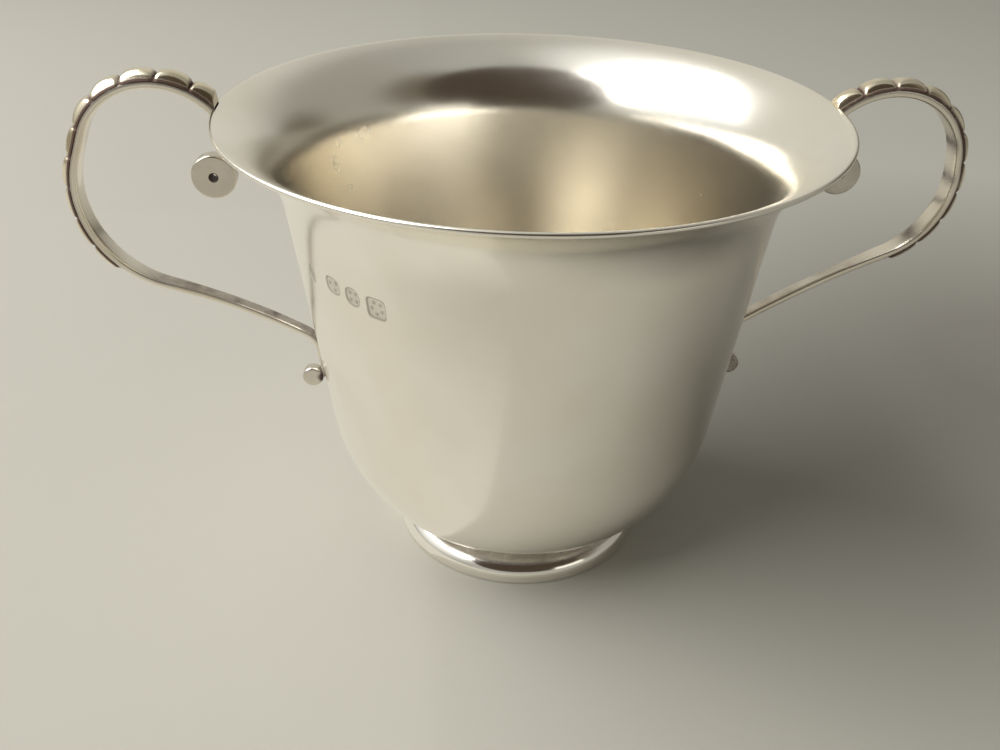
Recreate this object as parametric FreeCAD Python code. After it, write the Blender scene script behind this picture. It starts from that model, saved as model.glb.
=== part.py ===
import FreeCAD, Part
import math
import os

# Two-handled silver sugar bowl on a moulded foot ring.
# Millimetres. +Z is up and the origin is on the bowl's axis, in the plane that
# the foot stands on. The two handles lie in the XZ plane, one at each end of X.
# Every outline below is drawn in that plane as (distance from the axis, height).

# ---- driving dimensions ----------------------------------------------------

RIM_RADIUS = 45.0          # lip edge, on its underside
RIM_HEIGHT = 72.1
LIP_SLOPE = 23.0           # degrees from level at the lip's edge
FLARE_RADIUS = 14.5        # of the curve that turns the wall out into the lip
BELLY_RADIUS = 25.6        # of the curve that turns the wall in to the bottom
BOTTOM_RADIUS = 6.1        # flat middle of the bottom
BOTTOM_HEIGHT = 1.5        # clearance under that flat
SHEET = 0.7                # gauge of the raised bowl

FOOT_RADIUS = 21.2         # moulded ring, outside
FOOT_BAND = 0.7            # height of its upright band
FOOT_SHOULDER = 3.3        # rounding above the band
FOOT_TOP_SLOPE = 24.0      # degrees, of the ring's top towards the bowl
FOOT_NECK_RADIUS = 18.2    # where the top runs under the bowl
FOOT_GAUGE = 1.0
FOOT_EDGE = 0.3            # rounding of the edge that stands on the table

STRAP_WIDTH = 3.8          # along Y, in the loop that the fingers hold
STRAP_TAIL_WIDTH = 2.4     # along Y, in the lower arm
STRAP_THICK = 1.4          # at the lip
STRAP_TAIL_THICK = 1.0     # at the lower end
TAIL_BEND_RADIUS = 4.0     # where the arm turns down along the wall
TAIL_STRAIGHT = 5.0
SOLDER_SEAT = 0.05         # how far a strap beds into the bowl before it is trimmed

# The two handles were bent by hand, so they differ a little. Headings are the
# strap's direction in degrees, and radii are of its centre line.
RIGHT_BENDS = {
    "start_height": 71.4,
    "start_heading": 46.4,
    "loop_radius": 11.76,
    "straight": 1.7,
    "straight_heading": -82.7,
    "heel_radius": 13.3,
    "heel_heading": -155.7,
    "arm_radius": 182.0,
    "arm_heading": -147.7,
    "roundel": (47.1, 62.6),
}
LEFT_BENDS = {
    "start_height": 72.2,
    "start_heading": 51.3,
    "loop_radius": 11.15,
    "straight": 3.5,
    "straight_heading": -68.6,
    "heel_radius": 15.6,
    "heel_heading": -162.6,
    "arm_radius": 93.0,
    "arm_heading": -149.0,
    "roundel": (46.2, 62.8),
}

TAPER_TOP = 57.0           # the strap keeps its full width above this height
TAPER_OUTER = 65.0         # distances from the axis where the taper begins and ends
TAPER_INNER = 50.0

LOBE_COUNT = 10
LOBE_PITCH = 4.5           # along the strap's centre line
LOBE_BASE = 0.4            # depth of the strip at a notch
LOBE_RISE = 0.95           # of the first lobe above its notches
LOBE_LAST_RISE = 0.6
LOBE_RUN = LOBE_COUNT * LOBE_PITCH

ROUNDEL_RADIUS = 3.25
ROUNDEL_THICK = 2.4
ROUNDEL_HOLE_RADIUS = 0.5

SCROLL_THICK = 1.0
SCROLL_WIDTH = 2.2
SCROLL_TOP = (43.5, 71.6)  # ends of the curl that carries the upper roundel
SCROLL_BOW = (41.9, 68.3)
SCROLL_FOOT_ANGLE = 150.0  # degrees round the roundel where the curl lands

TAIL_ROUNDEL_RADIUS = 1.7
TAIL_ROUNDEL_THICK = 2.0

TINY = 1e-6                # distances closer than this count as equal
STRAIGHT_ENOUGH = 1e-3     # twice the area that an arc and its chord may enclose

PARTS = "parts"


# ---- plane geometry --------------------------------------------------------

def vec(point, y=0.0):
    """A point of the XZ plane as a vector."""
    return FreeCAD.Vector(point[0], y, point[1])


def line(a, b):
    return Part.LineSegment(vec(a), vec(b)).toShape()


def arc(a, middle, b):
    return Part.Arc(vec(a), vec(middle), vec(b)).toShape()


def polar(centre, radius, degrees):
    angle = math.radians(degrees)
    return (centre[0] + radius * math.cos(angle), centre[1] + radius * math.sin(angle))


def arc_about(centre, radius, start, end):
    """An arc about a centre, between two directions in degrees."""
    middle = (start + end) / 2
    return arc(polar(centre, radius, start), polar(centre, radius, middle), polar(centre, radius, end))


def face_of(edges):
    return Part.Face(Part.Wire(edges))


def revolve(face):
    solid = face.revolve(FreeCAD.Vector(0, 0, 0), FreeCAD.Vector(0, 0, 1), 360)
    return solid.removeSplitter()


def slab(face, width):
    """A face of the XZ plane, thickened evenly to both sides of it."""
    moved = face.translated(FreeCAD.Vector(0, -width / 2, 0))
    return moved.extrude(FreeCAD.Vector(0, width, 0))


def cylinder_across(centre, radius, width):
    """A cylinder along Y about a point of the XZ plane."""
    base = vec(centre, -width / 2)
    return Part.makeCylinder(radius, width, base, FreeCAD.Vector(0, 1, 0))


# ---- bowl ------------------------------------------------------------------

BELLY_CENTRE = (BOTTOM_RADIUS, BOTTOM_HEIGHT + BELLY_RADIUS)
FLARE_CENTRE = (
    RIM_RADIUS + FLARE_RADIUS * math.sin(math.radians(LIP_SLOPE)),
    RIM_HEIGHT - FLARE_RADIUS * math.cos(math.radians(LIP_SLOPE)),
)
LIP_ANGLE = 90.0 + LIP_SLOPE        # direction from the flare's centre to the lip


def wall_angle():
    """Direction, in degrees, that faces out of the straight wall.

    The wall is the tangent between the belly's circle and the flare's, which
    lie on opposite sides of it."""
    across = FLARE_CENTRE[0] - BELLY_CENTRE[0]
    up = FLARE_CENTRE[1] - BELLY_CENTRE[1]
    spread = math.acos((BELLY_RADIUS + FLARE_RADIUS) / math.hypot(across, up))
    return math.degrees(math.atan2(up, across) - spread)


WALL_ANGLE = wall_angle()
WALL_FOOT = polar(BELLY_CENTRE, BELLY_RADIUS, WALL_ANGLE)
WALL_HEAD = polar(FLARE_CENTRE, FLARE_RADIUS, WALL_ANGLE + 180)


def wall_radius(height):
    """Outside radius of the bowl's straight wall at a height."""
    share = (height - WALL_FOOT[1]) / (WALL_HEAD[1] - WALL_FOOT[1])
    return WALL_FOOT[0] + share * (WALL_HEAD[0] - WALL_FOOT[0])


def bowl_line(inset):
    """The bowl's section from the bottom to the lip, inset from the outside."""
    belly = BELLY_RADIUS - inset
    flare = FLARE_RADIUS + inset
    bottom = polar(BELLY_CENTRE, belly, -90)
    wall_low = polar(BELLY_CENTRE, belly, WALL_ANGLE)
    wall_high = polar(FLARE_CENTRE, flare, WALL_ANGLE + 180)
    edges = [
        line((0.0, bottom[1]), bottom),
        arc_about(BELLY_CENTRE, belly, -90, WALL_ANGLE),
        line(wall_low, wall_high),
        arc_about(FLARE_CENTRE, flare, WALL_ANGLE + 180, LIP_ANGLE),
    ]
    return edges, bottom[1], polar(FLARE_CENTRE, flare, LIP_ANGLE)


def lip_edge(outer_lip, inner_lip):
    """The rounded edge of the sheet at the lip."""
    middle = polar(FLARE_CENTRE, FLARE_RADIUS + SHEET / 2, LIP_ANGLE)
    return arc(outer_lip, polar(middle, SHEET / 2, LIP_SLOPE), inner_lip)


def bowl_body():
    outside, low, outer_lip = bowl_line(0.0)
    inside, high, inner_lip = bowl_line(SHEET)
    on_axis = line((0.0, high), (0.0, low))
    lip = lip_edge(outer_lip, inner_lip)
    return revolve(face_of(outside + [lip] + inside[::-1] + [on_axis]))


def bowl_plug():
    """The bowl filled in, and the space over its mouth, for trimming what touches it."""
    outside, low, outer_lip = bowl_line(0.0)
    inner_lip = bowl_line(SHEET)[2]
    over_lip = (inner_lip[0], 2 * RIM_HEIGHT)
    over_axis = (0.0, 2 * RIM_HEIGHT)
    closing = [
        lip_edge(outer_lip, inner_lip),
        line(inner_lip, over_lip),
        line(over_lip, over_axis),
        line(over_axis, (0.0, low)),
    ]
    return revolve(face_of(outside + closing))


# ---- foot ------------------------------------------------------------------

def foot_outline(inset):
    """Points and arc middle of the ring's section, inset from the outside."""
    band = FOOT_RADIUS - inset
    centre = (FOOT_RADIUS - FOOT_SHOULDER, FOOT_BAND)
    radius = FOOT_SHOULDER - inset
    lean = 90.0 - FOOT_TOP_SLOPE
    shoulder_end = polar(centre, radius, lean)
    reach = shoulder_end[0] - FOOT_NECK_RADIUS
    neck = (FOOT_NECK_RADIUS, shoulder_end[1] + reach * math.tan(math.radians(FOOT_TOP_SLOPE)))
    return (band, FOOT_BAND), polar(centre, radius, lean / 2), shoulder_end, neck


def foot_ring(plug):
    band, middle, shoulder, neck = foot_outline(0.0)
    in_band, in_middle, in_shoulder, in_neck = foot_outline(FOOT_GAUGE)
    above = BOTTOM_HEIGHT + FOOT_RADIUS
    neck_top = (neck[0], above)
    in_top = (neck[0] - FOOT_GAUGE, above)
    in_low = (in_top[0], in_neck[1])
    edge_start = (FOOT_RADIUS - FOOT_EDGE, 0.0)
    edge_centre = (FOOT_RADIUS - FOOT_EDGE, FOOT_EDGE)
    edge_end = (FOOT_RADIUS, FOOT_EDGE)
    section = face_of([
        line((in_band[0], 0.0), edge_start),
        arc(edge_start, polar(edge_centre, FOOT_EDGE, -45), edge_end),
        line(edge_end, band),
        arc(band, middle, shoulder),
        line(shoulder, neck),
        line(neck, neck_top),
        line(neck_top, in_top),
        line(in_top, in_low),
        line(in_low, in_neck),
        line(in_neck, in_shoulder),
        arc(in_shoulder, in_middle, in_band),
        line(in_band, (in_band[0], 0.0)),
    ])
    return revolve(section).cut(plug)


# ---- handle route ----------------------------------------------------------

def route_pieces(bends):
    """The strap's centre line as (radius, length, heading at start, turn) pieces.

    A straight has radius None. Headings and turns are in degrees, and a
    positive turn is to the left of the route's direction."""
    tail_heading = WALL_ANGLE - 90.0
    side = bends["straight_heading"]
    heel = bends["heel_heading"]
    arm = bends["arm_heading"]
    turns = [
        (bends["loop_radius"], bends["start_heading"], side),
        (bends["heel_radius"], side, heel),
        (bends["arm_radius"], heel, arm),
        (TAIL_BEND_RADIUS, arm, tail_heading),
    ]
    pieces = [
        (radius, radius * math.radians(abs(second - first)), first, second - first)
        for radius, first, second in turns
    ]
    pieces.insert(1, (None, bends["straight"], side, 0.0))
    pieces.append((None, TAIL_STRAIGHT, tail_heading, 0.0))
    return pieces


def step(start, heading, radius, length, turn):
    """Where the route is after going a length along one piece."""
    if radius is None:
        return polar(start, length, heading), heading
    side = 90.0 if turn > 0 else -90.0
    centre = polar(start, radius, heading + side)
    swept = math.copysign(math.degrees(length / radius), turn)
    return polar(centre, radius, heading - side + swept), heading + swept


class Route:
    """A strap's centre line, walked by distance from its root at the lip."""

    def __init__(self, bends):
        self.place(bends, (RIM_RADIUS, bends["start_height"]))
        seat = (STRAP_TAIL_THICK / 2 - SOLDER_SEAT) / math.cos(math.radians(WALL_ANGLE))
        shift = wall_radius(self.end[1]) + seat - self.end[0]
        self.place(bends, (RIM_RADIUS + shift, bends["start_height"]))

    def place(self, bends, start):
        self.pieces = []
        self.length = 0.0
        for radius, length, heading, turn in route_pieces(bends):
            self.pieces.append((self.length, start, heading, radius, length, turn))
            start, heading = step(start, heading, radius, length, turn)
            self.length += length
        self.end = start

    def at(self, distance):
        """Point and heading of the route at a distance along it."""
        for begun, start, heading, radius, length, turn in self.pieces:
            if distance <= begun + length + TINY:
                break
        return step(start, heading, radius, distance - begun, turn)

    def half_thick(self, distance):
        share = distance / self.length
        return (STRAP_THICK + share * (STRAP_TAIL_THICK - STRAP_THICK)) / 2

    def beside(self, distance, above, side=1):
        """A point at a height above one face of the strap, the outer by default."""
        point, heading = self.at(distance)
        return polar(point, side * (self.half_thick(distance) + above), heading + 90)

    def face_edge(self, start, end, side):
        """One face of the strap between two distances on one piece of the route."""
        a, b, c = [self.beside(s, 0.0, side) for s in (start, (start + end) / 2, end)]
        bow = abs((b[0] - a[0]) * (c[1] - a[1]) - (b[1] - a[1]) * (c[0] - a[0]))
        return line(a, c) if bow < STRAIGHT_ENOUGH else arc(a, b, c)

    def face_edges(self, end, side):
        """The edges of one face of the strap, from its root to a distance."""
        breaks = [piece[0] for piece in self.pieces] + [LOBE_RUN]
        places = [p for p in sorted(breaks) if p < end - TINY] + [end]
        return [self.face_edge(a, b, side) for a, b in zip(places, places[1:])]


# ---- handle pieces ---------------------------------------------------------

def width_cutters():
    """Two blocks that narrow the strap towards its lower arm."""
    wide = STRAP_WIDTH / 2
    narrow = STRAP_TAIL_WIDTH / 2
    clear = 2 * STRAP_WIDTH
    near = RIM_RADIUS / 2
    cutters = []
    for side in (-1, 1):
        plan = [
            (near, narrow),
            (TAPER_INNER, narrow),
            (TAPER_OUTER, wide),
            (TAPER_OUTER, clear),
            (near, clear),
        ]
        corners = [FreeCAD.Vector(x, side * y, 0) for x, y in plan]
        outline = Part.makePolygon(corners + corners[:1])
        cutters.append(Part.Face(outline).extrude(FreeCAD.Vector(0, 0, TAPER_TOP)))
    return cutters


def narrowed(solid):
    for cutter in width_cutters():
        solid = solid.cut(cutter)
    return solid


def handle_strap(route, plug):
    end = route.length
    tip = line(route.beside(end, 0.0), route.beside(end, 0.0, -1))
    root = line(route.beside(0.0, 0.0, -1), route.beside(0.0, 0.0))
    inner = route.face_edges(end, -1)[::-1]
    outline = face_of(route.face_edges(end, 1) + [tip] + inner + [root])
    return narrowed(slab(outline, STRAP_WIDTH)).cut(plug)


def lobe_rise(number):
    share = number / (LOBE_COUNT - 1)
    return LOBE_RISE + share * (LOBE_LAST_RISE - LOBE_RISE)


def scalloped_back(route, plug):
    """The strip of lobes along the strap's outer side."""
    lobes = []
    for number in range(LOBE_COUNT):
        start = number * LOBE_PITCH
        notch_a = route.beside(start, LOBE_BASE)
        crown = route.beside(start + LOBE_PITCH / 2, LOBE_BASE + lobe_rise(number))
        notch_b = route.beside(start + LOBE_PITCH, LOBE_BASE)
        lobes.append(arc(notch_a, crown, notch_b))
    last = line(route.beside(LOBE_RUN, LOBE_BASE), route.beside(LOBE_RUN, 0.0))
    first = line(route.beside(0.0, 0.0), route.beside(0.0, LOBE_BASE))
    bed = route.face_edges(LOBE_RUN, 1)[::-1]
    outline = face_of(lobes + [last] + bed + [first])
    return narrowed(slab(outline, STRAP_WIDTH)).cut(plug)


def upper_roundel(centre):
    disc = cylinder_across(centre, ROUNDEL_RADIUS, ROUNDEL_THICK)
    return disc.cut(cylinder_across(centre, ROUNDEL_HOLE_RADIUS, 2 * ROUNDEL_THICK))


def upper_scroll(centre, plug):
    """The curl under the lip, from the strap's root to the roundel."""
    land = polar(centre, ROUNDEL_RADIUS - SCROLL_THICK / 2, SCROLL_FOOT_ANGLE)
    path = arc(SCROLL_TOP, SCROLL_BOW, land).Curve
    middle = (path.Center.x, path.Center.z)
    start, end = [
        math.degrees(math.atan2(p[1] - middle[1], p[0] - middle[0])) % 360
        for p in (SCROLL_TOP, land)
    ]
    outer = path.Radius + SCROLL_THICK / 2
    inner = path.Radius - SCROLL_THICK / 2
    outline = face_of([
        arc_about(middle, outer, start, end),
        line(polar(middle, outer, end), polar(middle, inner, end)),
        arc_about(middle, inner, end, start),
        line(polar(middle, inner, start), polar(middle, outer, start)),
    ])
    curl = slab(outline, SCROLL_WIDTH)
    disc = cylinder_across(centre, ROUNDEL_RADIUS, 2 * ROUNDEL_THICK)
    return curl.cut(disc).cut(plug)


def lower_roundel(route, strap):
    """The small disc at the tip of the strap's tail, on its outer side."""
    gap = TAIL_ROUNDEL_RADIUS + STRAP_TAIL_THICK / 2 - SOLDER_SEAT
    centre = polar(route.end, gap, WALL_ANGLE)
    return cylinder_across(centre, TAIL_ROUNDEL_RADIUS, TAIL_ROUNDEL_THICK).cut(strap)


def handle_pieces(bends, plug):
    """One handle's pieces by name, on the +X side."""
    route = Route(bends)
    strap = handle_strap(route, plug)
    return {
        "handle_strap": strap,
        "scalloped_back": scalloped_back(route, plug),
        "upper_scroll": upper_scroll(bends["roundel"], plug),
        "upper_roundel": upper_roundel(bends["roundel"]),
        "lower_roundel": lower_roundel(route, strap),
    }


# ---- assembly --------------------------------------------------------------

def write(name, shape):
    solids = shape.Solids
    if len(solids) != 1 or not shape.isValid():
        raise ValueError(name + " has " + str(len(solids)) + " solids, valid " + str(shape.isValid()))
    solids[0].exportStep(PARTS + "/" + name + ".step")
    print(name, round(solids[0].Volume, 1), "mm3")


def main():
    os.makedirs(PARTS, exist_ok=True)
    plug = bowl_plug()
    write("bowl_body", bowl_body())
    write("foot_ring", foot_ring(plug))
    for name, shape in handle_pieces(RIGHT_BENDS, plug).items():
        write(name + "_right", shape)
    across = FreeCAD.Vector(1, 0, 0)
    for name, shape in handle_pieces(LEFT_BENDS, plug).items():
        write(name + "_left", shape.mirror(FreeCAD.Vector(0, 0, 0), across))


main()
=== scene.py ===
import math

import bpy
import numpy as np
from mathutils import Matrix, Vector


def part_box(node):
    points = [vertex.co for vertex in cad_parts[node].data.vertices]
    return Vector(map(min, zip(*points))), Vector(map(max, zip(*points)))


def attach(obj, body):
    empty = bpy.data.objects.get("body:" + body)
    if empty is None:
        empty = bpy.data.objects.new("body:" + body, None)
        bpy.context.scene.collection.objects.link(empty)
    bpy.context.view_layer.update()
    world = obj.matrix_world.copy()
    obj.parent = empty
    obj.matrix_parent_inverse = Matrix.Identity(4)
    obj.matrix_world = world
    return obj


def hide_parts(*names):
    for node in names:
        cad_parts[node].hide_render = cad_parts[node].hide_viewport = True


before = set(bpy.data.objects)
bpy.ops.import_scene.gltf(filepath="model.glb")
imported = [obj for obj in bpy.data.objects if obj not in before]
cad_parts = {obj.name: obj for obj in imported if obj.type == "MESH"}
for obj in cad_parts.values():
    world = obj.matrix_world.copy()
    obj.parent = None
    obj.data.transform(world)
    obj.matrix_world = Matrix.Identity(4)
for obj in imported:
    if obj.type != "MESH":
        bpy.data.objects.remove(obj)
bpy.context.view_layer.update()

# Two-handled silver sugar bowl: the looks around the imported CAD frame.
# Sections and routes are drawn in millimetres and turned into metres when a
# mesh is made. The object is free-standing and has no joint, so every piece
# rides on the one body, "root".

MM = 0.001
BODY = "root"
CREASE = 38.0              # degrees between faces that makes an edge sharp

# ---- sizes read from the frame, in millimetres ----

BOWL_LOW, BOWL_HIGH = [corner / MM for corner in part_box("bowl_body")]
FOOT_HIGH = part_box("foot_ring")[1] / MM

# ---- bowl and foot ----

SHEET = 0.7                # gauge of the raised bowl
LIP_SLOPE = 23.0           # degrees from level at the lip's edge
FLARE_RADIUS = 14.5
BELLY_RADIUS = 25.6
BOTTOM_RADIUS = 6.1
BOTTOM_HEIGHT = BOWL_LOW.z
RIM_RADIUS = BOWL_HIGH.x - SHEET / 2 * (1 - math.sin(math.radians(LIP_SLOPE)))
RIM_HEIGHT = BOWL_HIGH.z - SHEET / 2 * (1 + math.cos(math.radians(LIP_SLOPE)))
PLANISH = 0.011            # depth of the hammer marks left in the wall
# Waves of the hammering: how many round the bowl, twist per millimetre up, and start.
PLANISH_WAVES = [(11, 0.31, 0.0), (17, -0.47, 1.3), (29, 0.83, 2.1), (7, 0.19, 0.4)]
PLANISH_STARTS = (4.0, 16.0)    # heights over which the hammer marks set in, and end
PLANISH_ENDS = (RIM_HEIGHT - 6.0, RIM_HEIGHT - 1.0)
SATIN_BELOW = 1.0          # distance below the wall's head where the satin inside starts to fade
SATIN_ABOVE = 5.0          # distance above it where the satin has gone

FOOT_RADIUS = FOOT_HIGH.x
FOOT_BAND = 0.7
FOOT_SHOULDER = 3.3
FOOT_TOP_SLOPE = 24.0
FOOT_NECK_RADIUS = 18.2
FOOT_GAUGE = 1.0
FOOT_EDGE = 0.3
FOOT_FILLET = 0.5          # run of solder between the ring's neck and the bowl
FILLET_SPREAD = 0.5        # share of the fillet that lies out on the ring
FILLET_CLIMB = 0.35        # share of it that lies out under the bowl
FILLET_WAIST = 0.02        # how far its hollow stands out from the neck
FOOT_BED = 0.02            # how far the ring's top lies below the bowl
FOOT_WANDER = [(0.02, 5, 0.7), (0.015, 9, 0.0)]    # size, waves round the ring, and start
FOOT_STEP = 0.12
FOOT_EDGE_STEP = 0.08
FOOT_TURN_STEP = 1.25      # degrees
FOOT_BAND_ROWS = 6
FOOT_TOP_ROWS = 4

# ---- handles ----

STRAP_WIDTH = 3.8
STRAP_TAIL_WIDTH = 2.4
STRAP_THICK = 1.4
STRAP_TAIL_THICK = 1.0
TAIL_BEND_RADIUS = 4.0
TAIL_STRAIGHT = 5.0
SOLDER_SEAT = 0.05
TAPER_TOP = 57.0
TAPER_OUTER = 65.0
TAPER_INNER = 50.0
TAPER_BLEND = 3.0          # height over which the narrow arm turns into the full strap
STRAP_STEP = 0.22          # between sections along a strap
STRAP_POINTS = 40          # round a section
ROOT_OVERLAP = 0.35        # of a handle's root over the lip's edge
ROOT_FILED = 0.1           # height below the rim from which that limit holds
STRAP_ROUNDNESS = 4.5      # 2 is an ellipse, more is squarer

# The strap's bends as in the CAD: headings in degrees, radii of its centre line.
BENDS = {
    "right": {
        "start_height": 71.4,
        "start_heading": 46.4,
        "loop_radius": 11.76,
        "straight": 1.7,
        "straight_heading": -82.7,
        "heel_radius": 13.3,
        "heel_heading": -155.7,
        "arm_radius": 182.0,
        "arm_heading": -147.7,
    },
    "left": {
        "start_height": 72.2,
        "start_heading": 51.3,
        "loop_radius": 11.15,
        "straight": 3.5,
        "straight_heading": -68.6,
        "heel_radius": 15.6,
        "heel_heading": -162.6,
        "arm_radius": 93.0,
        "arm_heading": -149.0,
    },
}
SIDES = {"right": 1, "left": -1}

LOBE_COUNT = 10
LOBE_PITCH = 4.5
LOBE_BASE = 0.4
LOBE_RISE = 0.95
LOBE_LAST_RISE = 0.6
LOBE_FULLNESS = 0.55       # 1 is a parabola along the strap, less is blunter
LOBE_FLANK = 33.0          # degrees that a lobe's side leans in from upright
LOBE_DOME = 0.38           # share of its height that a lobe's back falls to its sides
LOBE_BLEND = 6.0           # sharpness of the turn from a lobe's side to its back
LOBE_SIDE_START = 0.01     # height of the side at the strip's very edge
LOBE_SINK = 0.2            # share of the strap's half thickness that the sides reach down
LOBE_BED = 0.25            # how far the strip beds into the strap below that
BED_PLACES = (-0.8, -0.4, 0.4, 0.8)      # shares of the half width
LOBE_STEP = 0.14
LOBE_POINTS = 31           # over one section
LOBED_LENGTH = LOBE_COUNT * LOBE_PITCH
NOTCH_RUN = 0.3            # half the length of the notch between two lobes
NOTCH_PINCH = 0.12         # share of the strip's width lost in a notch
NOTCH_DEPTH = 0.5          # share of LOBE_BASE lost in a notch

SCROLL_THICK = 1.0
SCROLL_WIDTH = 2.2
SCROLL_BOW = (41.9, 68.3)
SCROLL_TOP = (43.5, 71.6)
SCROLL_FOOT_ANGLE = 150.0
SCROLL_START = 0.1         # share of the curl that lies hidden in the lip
SCROLL_ROUNDNESS = 3.2
SCROLL_STATIONS = 28
SCROLL_POINTS = 28

HOLE_RADIUS = 0.5
HOLE_SOFT = 0.25           # radius of the hole's softened edge
HOLE_START = 0.35          # depth at which the straight bore starts
ROUNDEL_SOFT = 0.28        # radius of the rim's softened edge
ROUNDEL_FALL = 0.05        # of the face from its centre to its rim
ROUNDEL_SATIN = 0.5
ROUNDEL_SIDES = 72
HOLE_STEP = 0.07
ROUNDEL_STEP = 0.06

TAIL_ROUNDEL_RADIUS = 1.7
TAIL_ROUNDEL_SOFT = 0.4
TAIL_ROUNDEL_FALL = 0.01   # of its face, at TAIL_ROUNDEL_FLAT of its radius
TAIL_ROUNDEL_FLAT = 0.4
TAIL_ROUNDEL_POLE = 0.02   # radius of the small face at its centre
TAIL_ROUNDEL_SIDES = 48
TAIL_ROUNDEL_STEP = 0.08

# Plain punched marks in a row under the lip: place round the bowl in degrees,
# height, half width, half height, squareness of the outline (2 is an oval) and
# the number of raised dots inside.
MARKS = [
    (-151.5, 55.0, 0.95, 1.35, 2.0, 1),
    (-142.0, 55.5, 1.65, 1.35, 3.0, 3),
    (-135.4, 55.3, 1.45, 1.5, 2.4, 4),
    (-128.6, 55.0, 1.7, 1.7, 5.0, 5),
]
MARK_DEPTH = 0.16
MARK_EDGE = 0.22           # share of a mark's half size over which its side slopes
DOT_RADIUS = 0.3
DOT_RING = 0.52            # share of a mark's half size, from its centre to a dot
DOT_TOP = 0.3              # share of a dot's radius that is flat
DOT_RISE = 0.9             # share of the mark's depth
MARK_STEP = 0.12           # mesh spacing over the marks
MARK_MARGIN = 0.6          # height of close rows past the marks
MARK_BEFORE = 3.0          # degrees of close columns before the first mark's middle
MARK_AFTER = 4.0           # and after the last one's
WALL_MARGIN = 1.0          # height at the wall's foot that no mark reaches
WALL_STEP = 0.9            # mesh spacing elsewhere
FLARE_STEP = WALL_STEP / 2
LIP_STEP = SHEET / 7
EASE_RUN = 2.6             # over which the bowl's curvature changes from one stretch to the next
EASE_STEP = 0.1

# ---- tarnish, and painted shade in the roundels' holes: how dark, where 1 is full, and the distances over which it fades ----

MARK_FLOOR_STAIN = 0.3
MARK_SIDE_STAIN = 3.0
JOINT_STAIN = 0.8          # on the wall round a strap's tail
JOINT_FADE = (1.0, 3.6)
NECK_STAIN = 0.25          # on the bowl round the foot ring's neck
NECK_FADE = (0.3, 1.0)
SOLDER_STAIN = 0.3         # on the run of solder over the neck
SOLDER_START = 0.1         # above the neck
RING_STAIN = 0.6           # inside the ring, and on its top as far out as its hollow
GROOVE_STAIN = 1.3         # between the lobes, and beside them on the strap
GROOVE_FADE = (0.15, 0.55)
GROOVE_PLACE = (0.2, 0.85)      # shares of the strap's half thickness
NOTCH_STARTS = (0.4, 1.5)       # distances along the strap
LOBED_END = (LOBED_LENGTH - 1.0, LOBED_LENGTH + 1.0)
TIP_STAIN = 0.8            # on the strap's tail
TIP_RUN = 4.0
ARM_STAIN = {"right": 0.35, "left": 0.75}     # of the lower arms' inner faces
ARM_STARTS = (0.0, 8.0)         # distances past the lobes
INNER_PLACE = (0.1, 0.8)        # shares of the strap's half thickness
# Dark smudges on the straps' inner faces: place along the strap and reach.
SMUDGES = {"right": [(23.7, 1.3), (29.5, 1.0), (40.5, 2.2)], "left": []}
SMUDGE_STAIN = 0.8
ROUNDEL_STAIN = {"right": 0.4, "left": 0.15}
ROUNDEL_EDGE_STAIN = 0.25
ROUNDEL_EDGE = 0.02        # reach in from the rim
# Painted shade, over tarnish, in each upper roundel's hole and round its mouth.
HOLE_STAIN_AND_SHADE = 2.0
HOLE_REACH = 0.2           # out from the bore
TAIL_ROUNDEL_STAIN = 1.6   # times that of the upper one
TAIL_ROUNDEL_FADE = (0.4, 1.4)
SCROLL_ROOT_RUN = 0.35     # shares of the curl
SCROLL_TIP_RUN = 0.3

ROUNDING = 1e-6            # slack when lengths are compared

# ---- camera ----

CAMERA_PLACE = (-15.26, -140.59, 114.83)     # millimetres
CAMERA_YAW = 0.0813                          # radians, to the right of +Y
CAMERA_PITCH = 0.5549                        # down
CAMERA_ROLL = 0.0220
CAMERA_LENS = 35.61
SENSOR = 36.0


# ---- plane geometry ----

def polar(centre, radius, degrees):
    """The point at a distance from a centre, in a direction."""
    angle = math.radians(degrees)
    return (centre[0] + radius * math.cos(angle), centre[1] + radius * math.sin(angle))


def arc_points(centre, radius, start, end, spacing):
    """Points on an arc between two directions in degrees, about a spacing apart."""
    length = abs(math.radians(end - start)) * radius
    count = max(2, int(math.ceil(length / spacing)))
    return [polar(centre, radius, start + (end - start) * i / count) for i in range(count + 1)]


def smooth(low, high, value):
    """0 below low, 1 above high and an even curve between."""
    share = np.clip((value - low) / (high - low), 0.0, 1.0)
    return share * share * (3 - 2 * share)


def fade(reach, value):
    """1 below the first of two values, 0 above the second and an even curve between."""
    return 1 - smooth(*reach, value)


BELLY_CENTRE = (BOTTOM_RADIUS, BOTTOM_HEIGHT + BELLY_RADIUS)
FLARE_CENTRE = (
    RIM_RADIUS + FLARE_RADIUS * math.sin(math.radians(LIP_SLOPE)),
    RIM_HEIGHT - FLARE_RADIUS * math.cos(math.radians(LIP_SLOPE)),
)
LIP_ANGLE = 90.0 + LIP_SLOPE


def wall_angle():
    """Direction, in degrees, that faces out of the straight wall."""
    across = FLARE_CENTRE[0] - BELLY_CENTRE[0]
    up = FLARE_CENTRE[1] - BELLY_CENTRE[1]
    spread = math.acos((BELLY_RADIUS + FLARE_RADIUS) / math.hypot(across, up))
    return math.degrees(math.atan2(up, across) - spread)


WALL_ANGLE = wall_angle()
WALL_FOOT = polar(BELLY_CENTRE, BELLY_RADIUS, WALL_ANGLE)
WALL_HEAD = polar(FLARE_CENTRE, FLARE_RADIUS, WALL_ANGLE + 180)


def wall_radius(height):
    """Outer radius of the straight wall at a height."""
    share = (height - WALL_FOOT[1]) / (WALL_HEAD[1] - WALL_FOOT[1])
    return WALL_FOOT[0] + share * (WALL_HEAD[0] - WALL_FOOT[0])


# ---- meshes ----

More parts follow.
